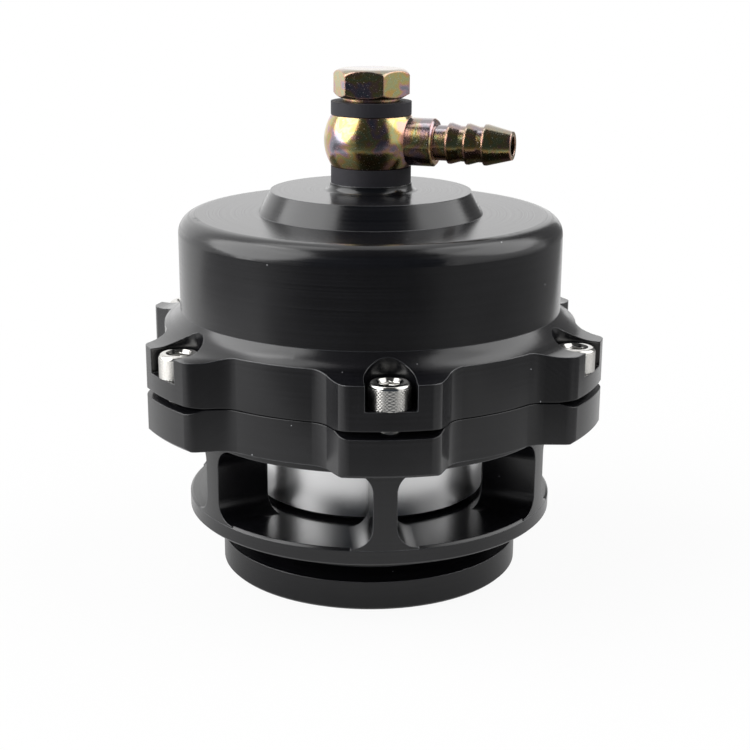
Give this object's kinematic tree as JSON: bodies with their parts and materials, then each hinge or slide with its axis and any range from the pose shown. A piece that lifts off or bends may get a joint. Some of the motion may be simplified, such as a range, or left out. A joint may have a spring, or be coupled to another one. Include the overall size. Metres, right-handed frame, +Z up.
{
  "type": "blow off valve",
  "caption": "Blow off valve with a clamp-flange inlet, windowed body, screwed eared cap and swivelling barbed hose fitting; a sprung diaphragm lifts its piston to vent charge air.",
  "frame": {"origin": "centre of the inlet flange's lower face", "axes": "+Z up along the valve's axis from inlet to hose fitting; one ear of the flange points to -Y"},
  "size_m": [0.0972, 0.1042, 0.1105],
  "materials": {
    "black_anodised_aluminium": "turned and anodised black, satin",
    "bright_aluminium": "turned, bright",
    "stainless_steel": "knurled side, polished top edge",
    "zinc_steel": "zinc plated",
    "spring_steel": "drawn wire",
    "yellow_zinc_steel": "yellow passivated zinc, iridescent",
    "black_rubber": "moulded, matt",
    "dark_fibre": "matt, slightly violet grey",
    "white_guide_plastic": "smooth"
  },
  "bodies": {
    "housing": {"valve_body": "black_anodised_aluminium", "guide_bush": "white_guide_plastic", "guide_seal": "black_rubber", "diaphragm": "black_rubber", "spring": "spring_steel", "top_cap": "black_anodised_aluminium", "cap_screws": "stainless_steel", "lower_seal_washer": "dark_fibre", "upper_seal_washer": "dark_fibre", "banjo_bolt": "yellow_zinc_steel"},
    "valve": {"valve_piston": "bright_aluminium", "valve_seal": "black_rubber", "retainer_plate": "zinc_steel", "retainer_washer": "zinc_steel", "retainer_bolt": "zinc_steel"},
    "fitting": {"banjo_fitting": "yellow_zinc_steel"}
  },
  "joints": [
    {"name": "valve_lift", "type": "slide", "parent": "housing", "child": "valve", "axis": [0, 0, 1], "range_m": [0, 0.012], "stiffness_N_per_m": 3000, "springref_m": -0.008, "deforming": ["spring", "diaphragm"]},
    {"name": "fitting_swivel", "type": "hinge", "parent": "housing", "child": "fitting", "pos_m": [0, 0, 0.0953], "axis": [0, 0, 1], "continuous": true}
  ]
}
